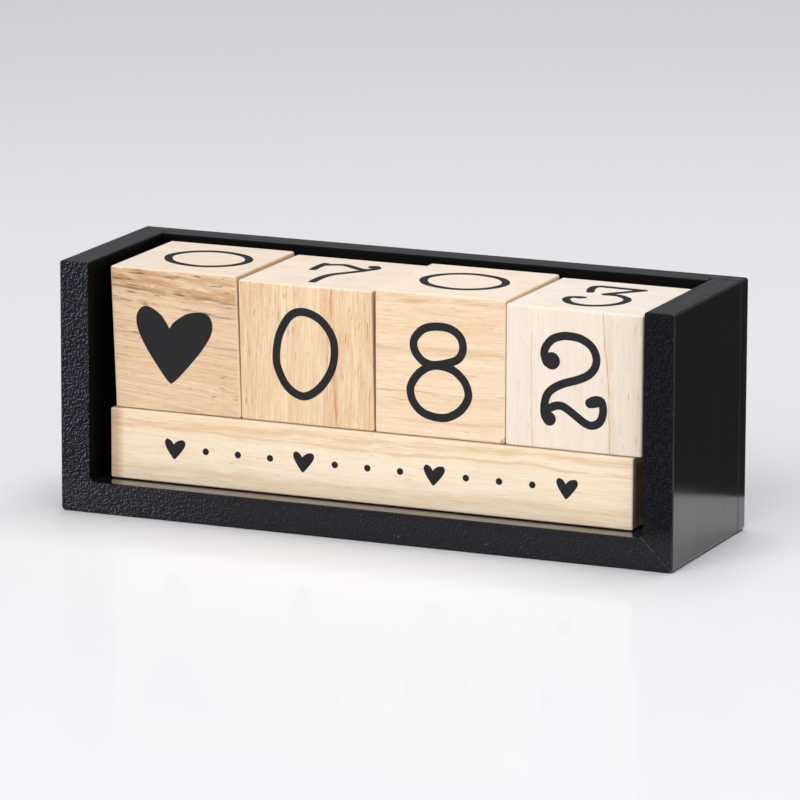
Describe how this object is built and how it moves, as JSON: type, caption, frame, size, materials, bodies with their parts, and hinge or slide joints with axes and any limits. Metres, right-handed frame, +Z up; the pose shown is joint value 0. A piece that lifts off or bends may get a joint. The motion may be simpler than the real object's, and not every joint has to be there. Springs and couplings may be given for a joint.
{
  "type": "cube countdown calendar",
  "caption": "Desk countdown calendar: an open-fronted black tray holds a loose caption bar and a row of loose wooden cubes that are lifted out and turned to show each day's number.",
  "frame": {"origin": "centre of the tray's underside", "axes": "+Z up; +X to the right along the tray, seen from its open front; +Y towards the back board"},
  "size_m": [0.1828, 0.0566, 0.0712],
  "materials": {
    "black_board": "black paint on fibreboard, satin on the faces and rough on the sawn edges",
    "pale_wood": "bare wood, sanded, with eased edges",
    "brad_steel": "bright drawn wire",
    "ink": "matt charcoal printing ink"
  },
  "bodies": {
    "tray": {"bottom_board": "black_board", "left_end_board": "black_board", "right_end_board": "black_board", "back_board": "black_board", "corner_brads": "brad_steel", "back_brads": "brad_steel"},
    "caption_bar": {"caption_bar": "pale_wood"},
    "heart_cube": {"heart_cube": "pale_wood"},
    "hundreds_cube": {"hundreds_cube": "pale_wood"},
    "tens_cube": {"tens_cube": "pale_wood"},
    "units_cube": {"units_cube": "pale_wood"}
  },
  "joints": [
    {"name": "bar_slide", "type": "slide", "parent": "tray", "child": "caption_bar", "axis": [0, -1, 0], "range_m": [0, 0.05]},
    {"name": "heart_cube_lift", "type": "slide", "parent": "caption_bar", "child": "heart_cube", "axis": [-0.0412, -0.0001, 0.9992], "range_m": [0, 0.048]},
    {"name": "hundreds_cube_lift", "type": "slide", "parent": "caption_bar", "child": "hundreds_cube", "axis": [-0.0268, 0.0001, 0.9996], "range_m": [0, 0.048]},
    {"name": "tens_cube_lift", "type": "slide", "parent": "caption_bar", "child": "tens_cube", "axis": [-0.0063, 0, 1], "range_m": [0, 0.048]},
    {"name": "units_cube_lift", "type": "slide", "parent": "caption_bar", "child": "units_cube", "axis": [0, 0, 1], "range_m": [0, 0.048]}
  ]
}
